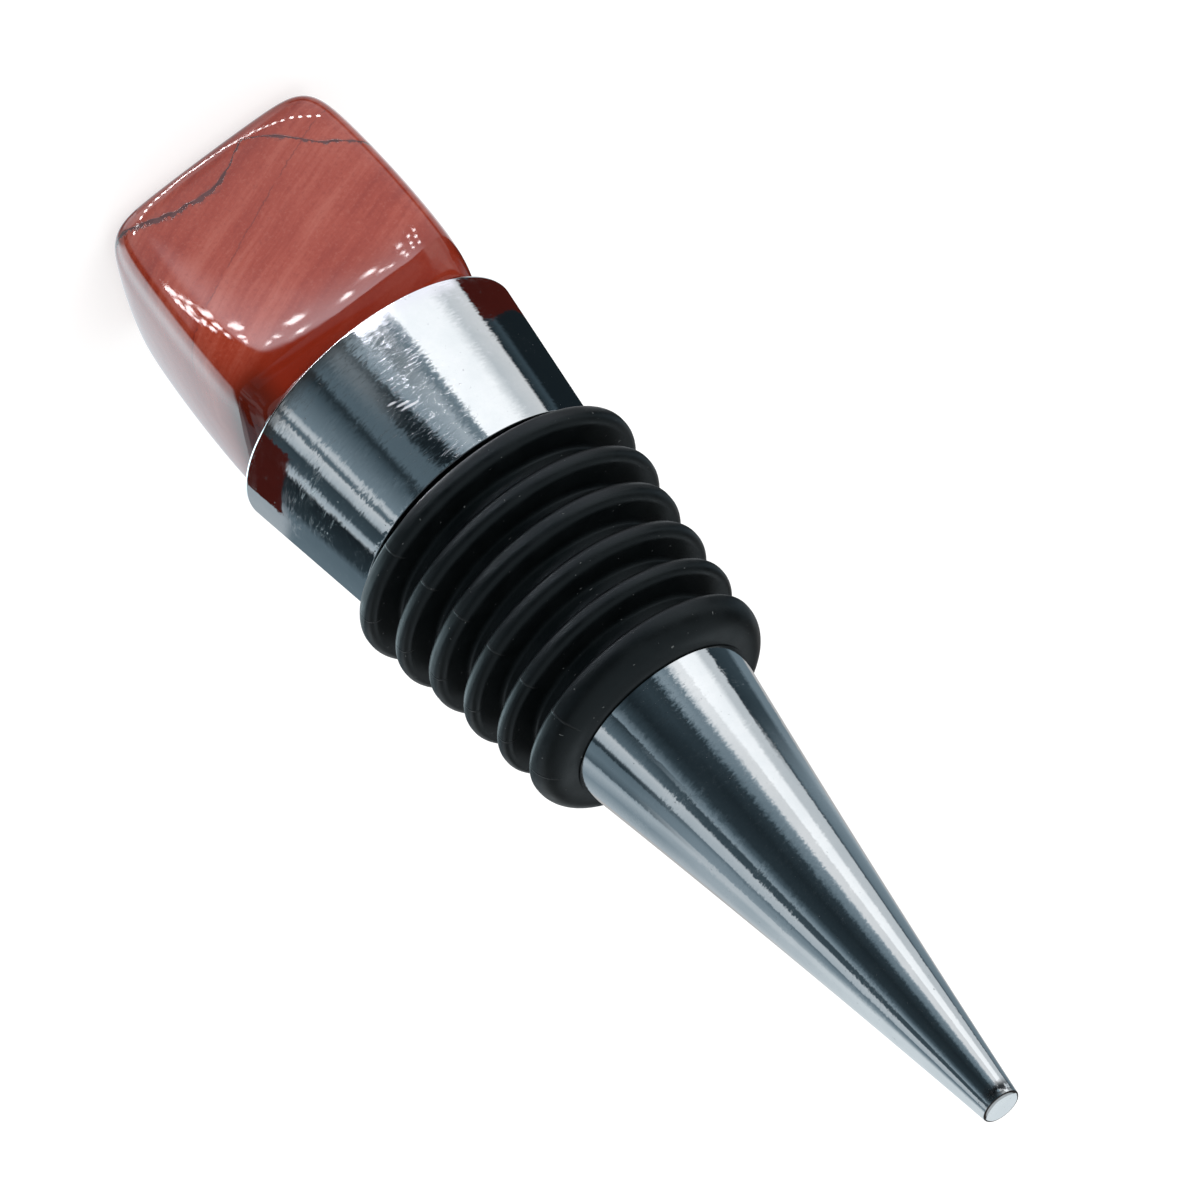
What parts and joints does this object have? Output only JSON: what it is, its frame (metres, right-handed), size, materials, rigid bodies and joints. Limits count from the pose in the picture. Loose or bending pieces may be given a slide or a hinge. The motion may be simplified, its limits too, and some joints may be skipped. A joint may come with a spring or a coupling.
{
  "type": "gemstone bottle stopper",
  "caption": "Wine bottle stopper with a polished red stone cube, a tapered chrome collar, a ribbed black rubber sleeve and a long pointed chrome cone.",
  "frame": {"origin": "on the stopper's axis, on the flat end face of the stone that the stopper stands on", "axes": "+Z along the stopper's axis from the stone to the tip of the cone; -Y faces the viewer of the picture; +X is the side where the stone's lit side face shows"},
  "size_m": [0.0252, 0.0252, 0.0971],
  "materials": {
    "polished_jasper": "tumbled and polished red jasper with a dark vein",
    "chrome_plate": "bright chrome plate over a polished zinc casting",
    "black_rubber": "satin moulded rubber",
    "zinc_plated_steel": "zinc-plated steel, hidden inside",
    "clear_epoxy": "cured clear adhesive, hidden inside"
  },
  "bodies": {
    "root": {"gemstone": "polished_jasper", "stopper_body": "chrome_plate", "sealing_sleeve": "black_rubber", "threaded_stud": "zinc_plated_steel", "epoxy_bond": "clear_epoxy"}
  },
  "joints": []
}
